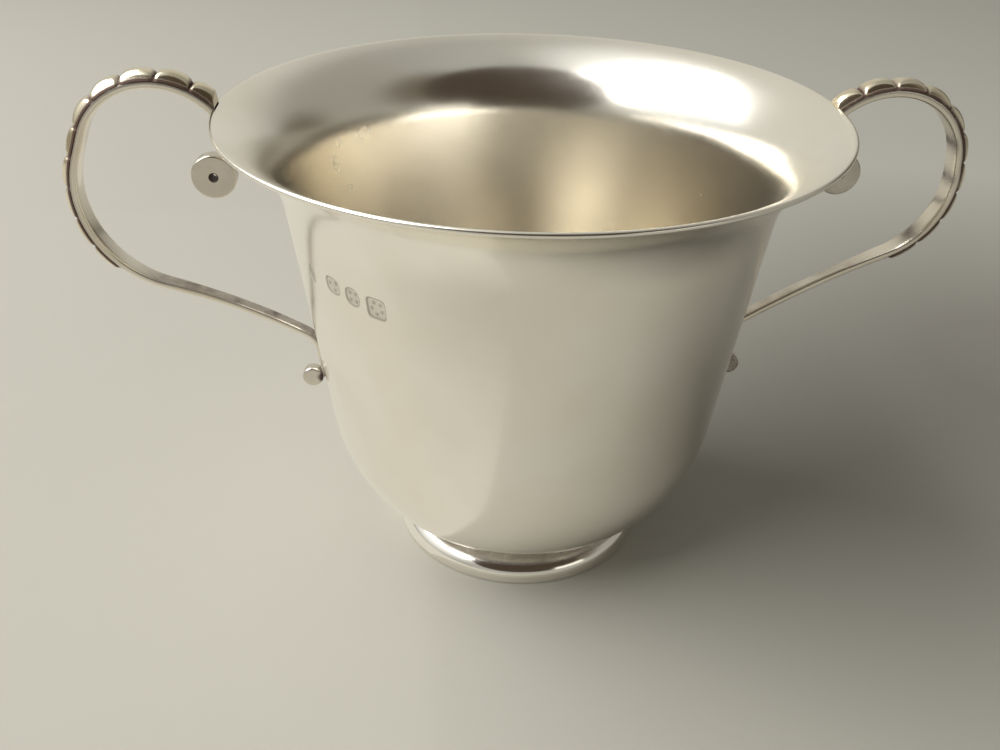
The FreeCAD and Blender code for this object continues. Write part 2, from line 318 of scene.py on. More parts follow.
def grid_faces(rows, columns, close_rows, close_columns):
    """Quads over a grid of points numbered row by row."""
    a = np.arange(rows if close_rows else rows - 1)[:, None]
    b = np.arange(columns if close_columns else columns - 1)[None, :]
    next_a = (a + 1) % rows
    next_b = (b + 1) % columns
    corners = [a * columns + b, a * columns + next_b, next_a * columns + next_b, next_a * columns + b]
    return np.stack(corners, -1).reshape(-1, 4).tolist()


def piece(name, points, faces, material, tarnish_and_shade, nodes, satin=None):
    """A mesh object in the frame, from points in millimetres, that stands for CAD nodes.

    The tarnish values, which also hold painted shade, and the satin values, 0 to 1 for each point, steer its
    material."""
    mesh = bpy.data.meshes.new(name)
    mesh.from_pydata((np.asarray(points) * MM).tolist(), [], faces)
    mesh.polygons.foreach_set("use_smooth", [True] * len(mesh.polygons))
    mesh.set_sharp_from_angle(angle=math.radians(CREASE))
    satin = np.zeros(len(points)) if satin is None else satin
    for layer_name, values in (("tarnish_and_shade", tarnish_and_shade), ("satin", satin)):
        layer = mesh.attributes.new(layer_name, "FLOAT", "POINT")
        layer.data.foreach_set("value", np.asarray(values, np.float32))
    mesh.materials.append(material)
    mesh.validate()
    obj = bpy.data.objects.new(name, mesh)
    bpy.context.scene.collection.objects.link(obj)
    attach(obj, BODY)
    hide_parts(*nodes)


def lathe_points(section, turns):
    """A section of (radius, height) points turned about Z, as a grid of points."""
    radius, height = np.asarray(section, float).T
    angle = np.radians(turns)
    x = radius[:, None] * np.cos(angle)
    y = radius[:, None] * np.sin(angle)
    z = np.repeat(height[:, None], len(angle), 1)
    return np.stack([x, y, z], -1)


# ---- bowl ----

def mark_heights():
    """Heights of the mesh rows up the wall, close together over the marks."""
    low = min(height - up for _, height, _, up, _, _ in MARKS) - MARK_MARGIN
    high = max(height + up for _, height, _, up, _, _ in MARKS) + MARK_MARGIN
    below = np.arange(WALL_FOOT[1], low, WALL_STEP)[1:]
    across = np.arange(low, high, MARK_STEP)
    above = np.arange(high, WALL_HEAD[1], WALL_STEP)
    return np.concatenate([below, across, above])


def bowl_turns():
    """Directions of the mesh columns round the bowl, close together over the marks."""
    degree = math.degrees(1 / WALL_HEAD[0])
    low = min(place for place, *_ in MARKS) - MARK_BEFORE
    high = max(place for place, *_ in MARKS) + MARK_AFTER
    fine = np.arange(low, high, MARK_STEP * degree)
    rest = np.linspace(high, low + 360, int((360 - high + low) / (WALL_STEP * degree)))[:-1]
    return np.concatenate([fine, rest])


def eased(outline):
    """The same outline with its curvature changing gently, and its ends kept."""
    outline = np.asarray(outline)
    gaps = np.linalg.norm(np.diff(outline, axis=0), axis=1)
    travelled = np.concatenate([[0.0], np.cumsum(gaps)])
    even = np.linspace(0.0, travelled[-1], int(travelled[-1] / EASE_STEP))
    count = int(EASE_RUN / EASE_STEP)
    weights = np.hanning(2 * count + 1)
    weights /= weights.sum()
    columns = []
    for column in outline.T:
        track = np.interp(even, travelled, column)
        track = np.pad(track, count, mode="reflect", reflect_type="odd")
        columns.append(np.interp(travelled, even, np.convolve(track, weights, "valid")))
    return [tuple(point) for point in np.stack(columns, -1)]


def bowl_section():
    """The section from the outside of the bottom, over the lip, to the inside of the bottom.

    Also the number of its points that are outside."""
    outer = arc_points(BELLY_CENTRE, BELLY_RADIUS, -90, WALL_ANGLE, WALL_STEP)
    outer += [(wall_radius(height), height) for height in mark_heights()]
    outer += arc_points(FLARE_CENTRE, FLARE_RADIUS, WALL_ANGLE + 180, LIP_ANGLE, FLARE_STEP)
    outer = eased(outer)
    middle = polar(FLARE_CENTRE, FLARE_RADIUS + SHEET / 2, LIP_ANGLE)
    edge = arc_points(middle, SHEET / 2, LIP_SLOPE - 90, LIP_SLOPE + 90, LIP_STEP)[1:-1]
    inner = arc_points(FLARE_CENTRE, FLARE_RADIUS + SHEET, LIP_ANGLE, WALL_ANGLE + 180, FLARE_STEP)
    inner += arc_points(BELLY_CENTRE, BELLY_RADIUS - SHEET, WALL_ANGLE, -90, WALL_STEP)
    inner = eased(inner)
    inside = len(outer) + len(edge) // 2
    return outer + edge + inner, inside


def mark_depth(turn, height):
    """Depth of the punched marks at each place on the wall, as a share of MARK_DEPTH."""
    depth = np.zeros_like(height)
    for place, middle, wide, high, square, dots in MARKS:
        across = np.radians(turn - place) * wall_radius(middle)
        up = height - middle
        edge = (np.abs(across / wide) ** square + np.abs(up / high) ** square) ** (1 / square)
        sunk = fade((1 - MARK_EDGE, 1.0), edge)
        raised = np.zeros_like(height)
        for number in range(dots):
            angle = 2 * math.pi * number / dots + math.pi / 4
            reach = 0.0 if dots == 1 else DOT_RING
            gap = np.hypot(across - reach * wide * math.cos(angle), up - reach * high * math.sin(angle))
            raised = np.maximum(raised, fade((DOT_TOP * DOT_RADIUS, DOT_RADIUS), gap))
        depth += sunk * (1 - DOT_RISE * raised)
    return depth


def planish(turn, height):
    """Soft unevenness left by the hammer, from 0 to 1."""
    angle = np.radians(turn)
    waves = sum(np.sin(count * angle + twist * height + start) for count, twist, start in PLANISH_WAVES)
    return 0.5 + waves / (2 * len(PLANISH_WAVES))


def joint_distance(points, places):
    """Distance from each point to the nearest of some places."""
    gaps = [np.linalg.norm(points - np.array(place), axis=1) for place in places]
    return np.min(gaps, axis=0)


def bowl_grid():
    """The section turned about Z, with the marks and the hammering pressed into it.

    Also the marks' share of their depth at each point, and which points are outside."""
    section, inside = bowl_section()
    turns = bowl_turns()
    grid = lathe_points(section, turns)
    turn = np.repeat(turns[None, :], len(section), 0)
    turn = (turn + 180) % 360 - 180
    height = grid[..., 2]
    outward = np.zeros_like(grid)
    outward[..., 0] = np.cos(np.radians(turn))
    outward[..., 1] = np.sin(np.radians(turn))
    outer = (np.arange(len(section)) < inside)[:, None]
    on_wall = outer & (height > WALL_FOOT[1] + WALL_MARGIN) & (height < WALL_HEAD[1])
    pressed = np.where(on_wall, mark_depth(turn, height), 0.0)
    hammered = smooth(*PLANISH_STARTS, height) * fade(PLANISH_ENDS, height)
    dent = PLANISH * planish(turn, height) * hammered
    grid -= outward * (MARK_DEPTH * pressed + dent)[..., None]
    return grid, pressed, np.repeat(outer, len(turns), 1)


def bowl_tarnish(points, pressed, outside):
    """Dark in the marks, round the straps' tails and round the foot ring's neck."""
    joints = [strap_joint(side) for side in SIDES]
    tarnish_and_shade = MARK_FLOOR_STAIN * pressed + MARK_SIDE_STAIN * pressed * (1 - pressed)
    tarnish_and_shade = np.maximum(tarnish_and_shade, JOINT_STAIN * fade(JOINT_FADE, joint_distance(points, joints)))
    from_axis = np.hypot(points[:, 0], points[:, 1])
    neck_gap = np.hypot(from_axis - FOOT_NECK_RADIUS, points[:, 2] - FOOT_HIGH.z)
    return np.maximum(tarnish_and_shade, np.where(outside, NECK_STAIN * fade(NECK_FADE, neck_gap), 0.0))


def bowl(material):
    """The raised bowl, closed at its two poles, satin inside below the flare."""
    grid, pressed, outside = bowl_grid()
    rows, columns = pressed.shape
    points = grid.reshape(-1, 3)
    outside = outside.reshape(-1)
    faces = grid_faces(rows, columns, False, True)
    low_pole, high_pole = len(points), len(points) + 1
    last = (rows - 1) * columns
    for i in range(columns):
        after = (i + 1) % columns
        faces.append([low_pole, after, i])
        faces.append([high_pole, last + i, last + after])
    poles = [(0.0, 0.0, BOTTOM_HEIGHT), (0.0, 0.0, BOTTOM_HEIGHT + SHEET)]
    tarnish_and_shade = np.append(bowl_tarnish(points, pressed.reshape(-1), outside), [0.0, 0.0])
    deep = fade((WALL_HEAD[1] - SATIN_BELOW, WALL_HEAD[1] + SATIN_ABOVE), points[:, 2])
    satin = np.append(np.where(outside, 0.0, deep), [0.0, 1.0])
    whole = np.vstack([points, poles])
    piece("sugar_bowl_body", whole, faces, material, tarnish_and_shade, ["bowl_body"], satin)


# ---- foot ----

def foot_outline(inset):
    """The ring's rounded shoulder, set in by a gauge, and its neck at the end of the slope."""
    centre = (FOOT_RADIUS - FOOT_SHOULDER, FOOT_BAND)
    shoulder = arc_points(centre, FOOT_SHOULDER - inset, 0, 90.0 - FOOT_TOP_SLOPE, FOOT_STEP)
    end = shoulder[-1]
    reach = end[0] - FOOT_NECK_RADIUS
    return shoulder, (FOOT_NECK_RADIUS, end[1] + reach * math.tan(math.radians(FOOT_TOP_SLOPE)))


def belly_height(radius):
    """Height of the bowl's underside at a distance from the axis."""
    return BELLY_CENTRE[1] - math.sqrt(BELLY_RADIUS ** 2 - (radius - BELLY_CENTRE[0]) ** 2)


def foot_fillet(neck):
    """The run of solder, from the ring's top to the bowl's underside."""
    spread = FOOT_FILLET * FILLET_SPREAD
    foot_end = (neck[0] + spread, neck[1] - spread * math.tan(math.radians(FOOT_TOP_SLOPE)))
    top_radius = neck[0] + FOOT_FILLET * FILLET_CLIMB
    top_end = (top_radius, belly_height(top_radius) - FOOT_BED)
    return [foot_end, (neck[0] + FILLET_WAIST, (foot_end[1] + top_end[1]) / 2), top_end]


def foot(material):
    """The ring's hollow section, with the run of solder at its neck, turned about Z."""
    shoulder, neck = foot_outline(0.0)
    in_shoulder, in_neck = foot_outline(FOOT_GAUGE)
    edge = arc_points((FOOT_RADIUS - FOOT_EDGE, FOOT_EDGE), FOOT_EDGE, -90, 0, FOOT_EDGE_STEP)
    band = [
        (FOOT_RADIUS, FOOT_EDGE + (FOOT_BAND - FOOT_EDGE) * i / FOOT_BAND_ROWS)
        for i in range(1, FOOT_BAND_ROWS)
    ]
    fillet = foot_fillet(neck)
    slope = np.subtract(fillet[0], shoulder[-1])
    top = [tuple(np.add(shoulder[-1], slope * i / FOOT_TOP_ROWS)) for i in range(1, FOOT_TOP_ROWS)]
    inner_radius = neck[0] - FOOT_GAUGE
    inside = [(inner_radius, belly_height(inner_radius) - FOOT_BED), (inner_radius, in_neck[1])]
    inside += in_shoulder[::-1]
    section = [(in_shoulder[0][0], 0.0)] + edge + band + shoulder + top + fillet + inside
    turns = np.arange(0, 360, FOOT_TURN_STEP)
    grid = lathe_points(section, turns)
    wander = sum(size * np.sin(np.radians(turns) * count + start) for size, count, start in FOOT_WANDER)
    grid[..., :2] *= (1 + wander / FOOT_RADIUS)[None, :, None]
    radius, height = np.array(section).T
    solder = np.where(height > neck[1] + SOLDER_START, SOLDER_STAIN, 0.0)
    hollow = np.where(radius < in_shoulder[0][0] + ROUNDING, RING_STAIN, 0.0)
    tarnish_and_shade = np.repeat(np.maximum(solder, hollow), len(turns))
    faces = grid_faces(len(section), len(turns), True, True)
    piece("moulded_foot_ring", grid.reshape(-1, 3), faces, material, tarnish_and_shade, ["foot_ring"])


# ---- handle route ----

def route_pieces(bends):
    """The strap's centre line as (radius, length, heading, turn) pieces; a straight has no radius."""
    tail_heading = WALL_ANGLE - 90.0
    side = bends["straight_heading"]
    heel = bends["heel_heading"]
    arm = bends["arm_heading"]
    turns = [
        (bends["loop_radius"], bends["start_heading"], side),
        (bends["heel_radius"], side, heel),
        (bends["arm_radius"], heel, arm),
        (TAIL_BEND_RADIUS, arm, tail_heading),
    ]
    pieces = [
        (radius, radius * math.radians(abs(second - first)), first, second - first)
        for radius, first, second in turns
    ]
    pieces.insert(1, (None, bends["straight"], side, 0.0))
    pieces.append((None, TAIL_STRAIGHT, tail_heading, 0.0))
    return pieces


def step(start, heading, radius, length, turn):
    """Where the route is after going a length along one piece."""
    if radius is None:
        return polar(start, length, heading), heading
    side = 90.0 if turn > 0 else -90.0
    centre = polar(start, radius, heading + side)
    turned = math.copysign(math.degrees(length / radius), turn)
    return polar(centre, radius, heading - side + turned), heading + turned


class Route:
    """A strap's centre line on the +X side, walked from its root at the lip."""

    def __init__(self, bends):
        self.place(bends, (RIM_RADIUS, bends["start_height"]))
        seat = (STRAP_TAIL_THICK / 2 - SOLDER_SEAT) / math.cos(math.radians(WALL_ANGLE))
        shift = wall_radius(self.end[1]) + seat - self.end[0]
        self.place(bends, (RIM_RADIUS + shift, bends["start_height"]))

    def place(self, bends, start):
        self.pieces = []
        self.length = 0.0
        for radius, length, heading, turn in route_pieces(bends):
            self.pieces.append((self.length, start, heading, radius, length, turn))
            start, heading = step(start, heading, radius, length, turn)
            self.length += length
        self.end = start

    def at(self, distance):
        """Point and heading of the route at a distance along it."""
        for begun, start, heading, radius, length, turn in self.pieces:
            if distance <= begun + length + ROUNDING:
                break
        return step(start, heading, radius, distance - begun, turn)

    def half_thick(self, distance):
        share = distance / self.length
        return (STRAP_THICK + share * (STRAP_TAIL_THICK - STRAP_THICK)) / 2

    def half_width(self, distance):
        """Half the strap's width along Y, which narrows in its lower arm."""
        (x, z), _ = self.at(distance)
        wide, narrow = STRAP_WIDTH / 2, STRAP_TAIL_WIDTH / 2
        share = min(max((x - TAPER_INNER) / (TAPER_OUTER - TAPER_INNER), 0.0), 1.0)
        tapered = narrow + share * (wide - narrow)
        raised = float(smooth(TAPER_TOP - TAPER_BLEND, TAPER_TOP + TAPER_BLEND, z))
        return raised * wide + (1 - raised) * tapered

    def place_of(self, distance, across, above):
        """The point at a distance along, across the width, and above the centre line."""
        (x, z), heading = self.at(distance)
        x, z = polar((x, z), above, heading + 90)
        return (x, across, z)


ROUTES = {side: Route(bends) for side, bends in BENDS.items()}


def strap_joint(side):
    """Where the strap's tail lies on the wall."""
    _, z = ROUTES[side].end
    return (SIDES[side] * wall_radius(z), 0.0, z)


# ---- handle pieces ----

def capped_faces(rows, columns):
    """Faces of a closed tube: quads round it and one flat face at each end."""
    faces = grid_faces(rows, columns, False, True)
    faces.append(list(range(columns))[::-1])
    faces.append([(rows - 1) * columns + i for i in range(columns)])
    return faces


def swept(stations):
    """Points and faces of a closed tube through sections of the same number of points."""
    grid = np.array(stations)
    return grid.reshape(-1, 3), capped_faces(*grid.shape[:2])


def mirrored(points, faces, side):
    """The same mesh at the other end of X, with its faces still turned outwards."""
    if side == "right":
        return points, faces
    return points * np.array([-1.0, 1.0, 1.0]), [face[::-1] for face in faces]


def round_section(half_width, half_thick, power, count):
    """A rounded oblong as (across, above) points."""
    angle = 2 * np.pi * np.arange(count) / count
    across = np.sign(np.cos(angle)) * np.abs(np.cos(angle)) ** (2 / power) * half_width
    above = np.sign(np.sin(angle)) * np.abs(np.sin(angle)) ** (2 / power) * half_thick
    return np.stack([across, above], -1)


def beyond_lip(points):
    """Keeps a handle's root, filed to the bowl, from reaching in past the lip's edge."""
    over = points[:, 2] > RIM_HEIGHT - ROOT_FILED
    points[:, 0] = np.where(over, np.maximum(points[:, 0], RIM_RADIUS - ROOT_OVERLAP), points[:, 0])
    return points


def strap_tarnish(side, distance, section):
    """Tarnish round one section: beside the lobes, on the inner face and at the tail."""
    route = ROUTES[side]
    high = section[:, 1] / route.half_thick(distance)
    by_lobes = GROOVE_STAIN * smooth(*GROOVE_PLACE, high) * fade(LOBED_END, distance)
    tip = TIP_STAIN * max(1 - (route.length - distance) / TIP_RUN, 0.0)
    arm = ARM_STAIN[side] * smooth(*ARM_STARTS, distance - LOBED_LENGTH)
    smudges = [
        SMUDGE_STAIN * math.exp(-(((distance - place) / reach) ** 2))
        for place, reach in SMUDGES[side]
    ]
    inner = max([arm] + smudges) * smooth(*INNER_PLACE, -high)
    return np.maximum(np.maximum(by_lobes, inner), tip)


def strap(side, material):
    """The bent strap, a rounded oblong carried along its route."""
    route = ROUTES[side]
    stations = []
    tarnish_and_shade = []
    for distance in np.arange(0.0, route.length, STRAP_STEP).tolist() + [route.length]:
        half_width, half_thick = route.half_width(distance), route.half_thick(distance)
        section = round_section(half_width, half_thick, STRAP_ROUNDNESS, STRAP_POINTS)
        stations.append([route.place_of(distance, across, above) for across, above in section])
        tarnish_and_shade.append(strap_tarnish(side, distance, section))
    points, faces = swept(stations)
    points, faces = mirrored(beyond_lip(points), faces, side)
    name = "handle_strap_" + side
    piece("bent_" + name, points, faces, material, np.concatenate(tarnish_and_shade), [name])


def lobe_height(distance):
    """Rise of the lobes' crests at a distance along the strap, and the share along its lobe."""
    number = min(int(distance / LOBE_PITCH), LOBE_COUNT - 1)
    rise = LOBE_RISE + number / (LOBE_COUNT - 1) * (LOBE_LAST_RISE - LOBE_RISE)
    along = distance / LOBE_PITCH - number
    return rise * max(1 - (2 * along - 1) ** 2, 0.0) ** LOBE_FULLNESS, along


def lobe_section(half_width, height):
    """Across and above values over one lobe: leaning sides under a domed back."""
    across = np.sin(np.linspace(-np.pi / 2, np.pi / 2, LOBE_POINTS))[::-1] * half_width
    side = (half_width - np.abs(across)) / math.tan(math.radians(LOBE_FLANK)) + LOBE_SIDE_START
    back = height * (1 - LOBE_DOME * (across / half_width) ** 2)
    above = (side ** -LOBE_BLEND + back ** -LOBE_BLEND) ** (-1 / LOBE_BLEND)
    return across, above


def lobes(side, material):
    """The strip of crowned lobes, one tube whose section swells and shrinks."""
    route = ROUTES[side]
    stations = []
    tarnish_and_shade = []
    steps = int(LOBED_LENGTH / LOBE_STEP)
    for i in range(steps + 1):
        distance = LOBED_LENGTH * i / steps
        rise, along = lobe_height(distance)
        notch = math.exp(-((min(along, 1 - along) * LOBE_PITCH / NOTCH_RUN) ** 2))
        half_width = route.half_width(distance) * (1.0 - NOTCH_PINCH * notch)
        half_thick = route.half_thick(distance)
        crest = LOBE_BASE * (1 - NOTCH_DEPTH * notch) + rise
        across, above = lobe_section(half_width, crest + half_thick * LOBE_SINK)
        seat = half_thick * (1 - LOBE_SINK)
        top = [route.place_of(distance, a, seat + b) for a, b in zip(across, above)]
        bed = [route.place_of(distance, half_width * share, seat - LOBE_BED) for share in BED_PLACES]
        stations.append(top + bed)
        dirt = GROOVE_STAIN * np.maximum(fade(GROOVE_FADE, above), notch * smooth(*NOTCH_STARTS, distance))
        tarnish_and_shade.append(np.append(dirt, np.ones(len(bed))))
    points, faces = swept(stations)
    points, faces = mirrored(beyond_lip(points), faces, side)
    name = "scalloped_back_" + side
    piece("crowned_" + name, points, faces, material, np.concatenate(tarnish_and_shade), [name])


def turned_across(section, centre, count):
    """A section of (radius, across) points turned about a line along Y."""
    radius, across = np.asarray(section, float).T
    angle = 2 * np.pi * np.arange(count) / count
    x = centre[0] + radius[:, None] * np.cos(angle)
    z = centre[1] + radius[:, None] * np.sin(angle)
    y = np.repeat(across[:, None], count, 1)
    return np.stack([x, y, z], -1).reshape(-1, 3)


def node_middle(node):
    """Centre and half sizes of a CAD node, in millimetres, on the +X side."""
    low, high = [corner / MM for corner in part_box(node)]
    middle = (low + high) / 2
    return (abs(middle.x), middle.z), (high - low) / 2


def both_faces(half_section):
    """A half section and its image on the other side of the handles' plane."""
    return half_section + [(radius, -across) for radius, across in half_section[::-1]]


def upper_roundel(side, material):
    """A thick disc with softened edges and a hole at its centre."""
    node = "upper_roundel_" + side
    centre, half = node_middle(node)
    radius, deep = half.x, half.y
    face_start = HOLE_RADIUS + HOLE_SOFT
    face_run = radius - ROUNDEL_SOFT - face_start
    bore = [(HOLE_RADIUS, deep - HOLE_START)]
    mouth = arc_points((face_start, deep - HOLE_SOFT), HOLE_SOFT, 180, 90, HOLE_STEP)
    face = [(face_start + share * face_run, deep - ROUNDEL_FALL * share ** 2) for share in (0.25, 0.5, 0.75)]
    rim_centre = (radius - ROUNDEL_SOFT, deep - ROUNDEL_FALL - ROUNDEL_SOFT)
    rim = arc_points(rim_centre, ROUNDEL_SOFT, 90, 0, ROUNDEL_STEP)
    section = both_faces(bore + mouth + face + rim)
    points = turned_across(section, centre, ROUNDEL_SIDES)
    faces = grid_faces(len(section), ROUNDEL_SIDES, True, True)
    # Painted shade, over tarnish, darkens the bore and the mouth of the hole.
    hole_stain_and_shade = np.array([HOLE_STAIN_AND_SHADE if r < HOLE_RADIUS + HOLE_REACH else 0.0 for r, _ in section])
    edge = np.array([ROUNDEL_EDGE_STAIN if r > radius - ROUNDEL_EDGE else 0.0 for r, _ in section])
    tarnish_and_shade = np.repeat(np.maximum(np.maximum(hole_stain_and_shade, edge), ROUNDEL_STAIN[side]), ROUNDEL_SIDES)
    satin = np.full(len(points), ROUNDEL_SATIN)
    points, faces = mirrored(points, faces, side)
    piece("pierced_" + node, points, faces, material, tarnish_and_shade, [node], satin)


def lower_roundel(side, material):
    """The small soft-edged disc at the tip of the tail."""
    node = "lower_roundel_" + side
    middle, half = node_middle(node)
    centre = (middle[0] + half.x - TAIL_ROUNDEL_RADIUS, middle[1])
    deep = half.y
    rim_centre = (TAIL_ROUNDEL_RADIUS - TAIL_ROUNDEL_SOFT, deep - TAIL_ROUNDEL_SOFT)
    rim = arc_points(rim_centre, TAIL_ROUNDEL_SOFT, 90, 0, TAIL_ROUNDEL_STEP)
    pole = (TAIL_ROUNDEL_POLE, deep)
    face = (TAIL_ROUNDEL_RADIUS * TAIL_ROUNDEL_FLAT, deep - TAIL_ROUNDEL_FALL)
    section = both_faces([pole, face] + rim)
    points = turned_across(section, centre, TAIL_ROUNDEL_SIDES)
    faces = capped_faces(len(section), TAIL_ROUNDEL_SIDES)
    gap = np.hypot(points[:, 0] - (centre[0] - TAIL_ROUNDEL_RADIUS), points[:, 2] - centre[1])
    tarnish_and_shade = np.maximum(fade(TAIL_ROUNDEL_FADE, gap), TAIL_ROUNDEL_STAIN * ROUNDEL_STAIN[side])
    points, faces = mirrored(points, faces, side)
    piece("tail_" + node, points, faces, material, tarnish_and_shade, [node])


def upper_scroll(side, material):
    """The curl from under the lip to the upper roundel, as a round-edged strip."""
    centre, half = node_middle("upper_roundel_" + side)
    land = polar(centre, half.x - SCROLL_THICK / 2, SCROLL_FOOT_ANGLE)
    shares = np.linspace(SCROLL_START, 1, SCROLL_STATIONS)
    path = np.array([quadratic(SCROLL_TOP, SCROLL_BOW, land, share) for share in shares])
    along = np.gradient(path, axis=0)
    along /= np.linalg.norm(along, axis=1)[:, None]
    section = round_section(SCROLL_WIDTH / 2, SCROLL_THICK / 2, SCROLL_ROUNDNESS, SCROLL_POINTS)
    stations = [
        [(x - dz * above, across, z + dx * above) for across, above in section]
        for (x, z), (dx, dz) in zip(path, along)
    ]
    points, faces = swept(stations)
    share = np.repeat(np.linspace(0, 1, SCROLL_STATIONS), SCROLL_POINTS)
    tarnish_and_shade = np.clip(1 - share / SCROLL_ROOT_RUN, 0, 1) + np.clip(1 - (1 - share) / SCROLL_TIP_RUN, 0, 1)
    points, faces = mirrored(points, faces, side)
    name = "upper_scroll_" + side
    piece("curled_" + name, points, faces, material, tarnish_and_shade, [name])


def quadratic(start, through, end, share):
    """A point on the curve from start to end that passes through a point half way."""
    control = [2 * t - (s + e) / 2 for s, t, e in zip(start, through, end)]
    a, b, c = (1 - share) ** 2, 2 * share * (1 - share), share ** 2
    return [a * s + b * k + c * e for s, k, e in zip(start, control, end)]


# ---- materials ----

# How bright and deep silver, the colour and strength of its tarnish and painted shade, and the polish
# differ.
FINISHES = {
    "bowl_silver": {
        "bright": (0.94, 0.91, 0.84, 1),
        "deep": (0.90, 0.86, 0.77, 1),
        "stain_and_shade": (0.13, 0.09, 0.05, 1),
        "stain_and_shade_share": 0.85,
        "roughness": 0.20,
        "spread": 0.03,
        "streak": (1.0, 1.0, 9.0),
    },
    "foot_silver": {
        "bright": (0.97, 0.94, 0.88, 1),
        "deep": (0.92, 0.88, 0.80, 1),
        "stain_and_shade": (0.10, 0.06, 0.035, 1),
        "stain_and_shade_share": 0.9,
        "roughness": 0.12,
        "spread": 0.02,
        "streak": (1.0, 1.0, 9.0),
    },
    "handle_silver": {
        "bright": (0.88, 0.83, 0.74, 1),
        "deep": (0.78, 0.71, 0.60, 1),
        "stain_and_shade": (0.045, 0.025, 0.02, 1),
        "stain_and_shade_share": 0.95,
        "roughness": 0.15,
        "spread": 0.04,
        "streak": (2.0, 20.0, 2.0),
    },
    "lobe_silver": {
        "bright": (0.90, 0.84, 0.70, 1),
        "deep": (0.74, 0.64, 0.45, 1),
        "stain_and_shade": (0.075, 0.036, 0.028, 1),
        "stain_and_shade_share": 0.95,
        "roughness": 0.17,
        "spread": 0.04,
        "streak": (2.0, 20.0, 2.0),
    },
}
SATIN_COLOUR = (0.735, 0.69, 0.60, 1)
SATIN_SHARE = 0.85
SATIN_ROUGHNESS = 0.045
STAIN_ROUGHNESS = 0.22
STAIN_SETS_IN = (0.2, 1.0)       # the stain over which the surface stops being metal
SMUDGE_SPREAD = 0.5              # shares of a finish's spread
HAIRLINE_SPREAD = 0.4
STREAK_STRENGTH = 0.04
STREAK_DEPTH = 0.00003           # metres, as are the cloth's places

# Painted light: the cloth's colour runs a little lighter from the left of the floor to the right.
CLOTH_PAINTED_LIGHT_LEFT = (0.45, 0.435, 0.388, 1)
CLOTH_PAINTED_LIGHT_RIGHT = (0.475, 0.465, 0.415, 1)
# Painted shade: the cloth is a little darker to the right of a soft crease in front of the bowl.
CLOTH_PAINTED_CREASE_SHADE = (0.30, 0.28, 0.24, 1)
CLOTH_DRIFT = (0.40, 0.38, 0.34, 1)
# Painted shadow of the bowl: a dark patch on the cloth to the right of the bowl, and its centre in metres.
CLOTH_PAINTED_SHADOW = (0.16, 0.15, 0.13, 1)
CLOTH_PAINTED_SHADOW_PLACE = (0.12, 0.045, 0.0)


class Graph:
    """The nodes of a material or the world, made and linked in one call each."""

    def __init__(self, owner):
        self.owner = owner
        self.owner.use_nodes = True
        self.tree = self.owner.node_tree
        self.tree.nodes.clear()

    def add(self, kind, inputs=None, **settings):
        """A node with its settings, and each input linked to a socket or given a value."""
        node = self.tree.nodes.new(kind)
        for key, value in settings.items():
            setattr(node, key, value)
        for key, value in (inputs or {}).items():
            if isinstance(value, bpy.types.NodeSocket):
                self.tree.links.new(value, node.inputs[key])
            else:
                node.inputs[key].default_value = value
        return node

    def place(self):
        """The point being shaded, in the piece's own coordinates, which are the frame's."""
        return self.add("ShaderNodeTexCoord").outputs["Object"]

    def axis(self, place, name):
        return self.add("ShaderNodeSeparateXYZ", {"Vector": place}).outputs[name]

    def layer(self, name):
        """A value that the mesh holds for each of its points."""
        return self.add("ShaderNodeAttribute", attribute_name=name).outputs["Fac"]

    def noise(self, place, scale, detail, rough=0.5):
        inputs = {"Vector": place, "Scale": scale, "Detail": detail, "Roughness": rough}
        return self.add("ShaderNodeTexNoise", inputs).outputs["Fac"]

    def stretch(self, place, scale):
        return self.add("ShaderNodeMapping", {"Vector": place, "Scale": scale}).outputs["Vector"]

    def remap(self, value, source, target, **settings):
        """A value moved from one range, given by its ends, to another."""
        inputs = {"Value": value, "From Min": source[0], "From Max": source[1]}
        inputs.update({"To Min": target[0], "To Max": target[1]})
        return self.add("ShaderNodeMapRange", inputs, **settings).outputs["Result"]

    def math(self, operation, a, b, clamp=False):
        return self.add("ShaderNodeMath", {0: a, 1: b}, operation=operation, use_clamp=clamp).outputs[0]

    def mix(self, share, a, b):
        """Colour a turning into colour b; a colour mix's sockets are numbers 0, 6 and 7."""
        return self.add("ShaderNodeMix", {0: share, 6: a, 7: b}, data_type="RGBA").outputs[2]

    def bump(self, height, strength, distance):
        inputs = {"Height": height, "Strength": strength, "Distance": distance}
        return self.add("ShaderNodeBump", inputs).outputs["Normal"]

    def finish(self, shader, output="ShaderNodeOutputMaterial"):
        self.add(output, {"Surface": shader.outputs[0]})
        return self.owner


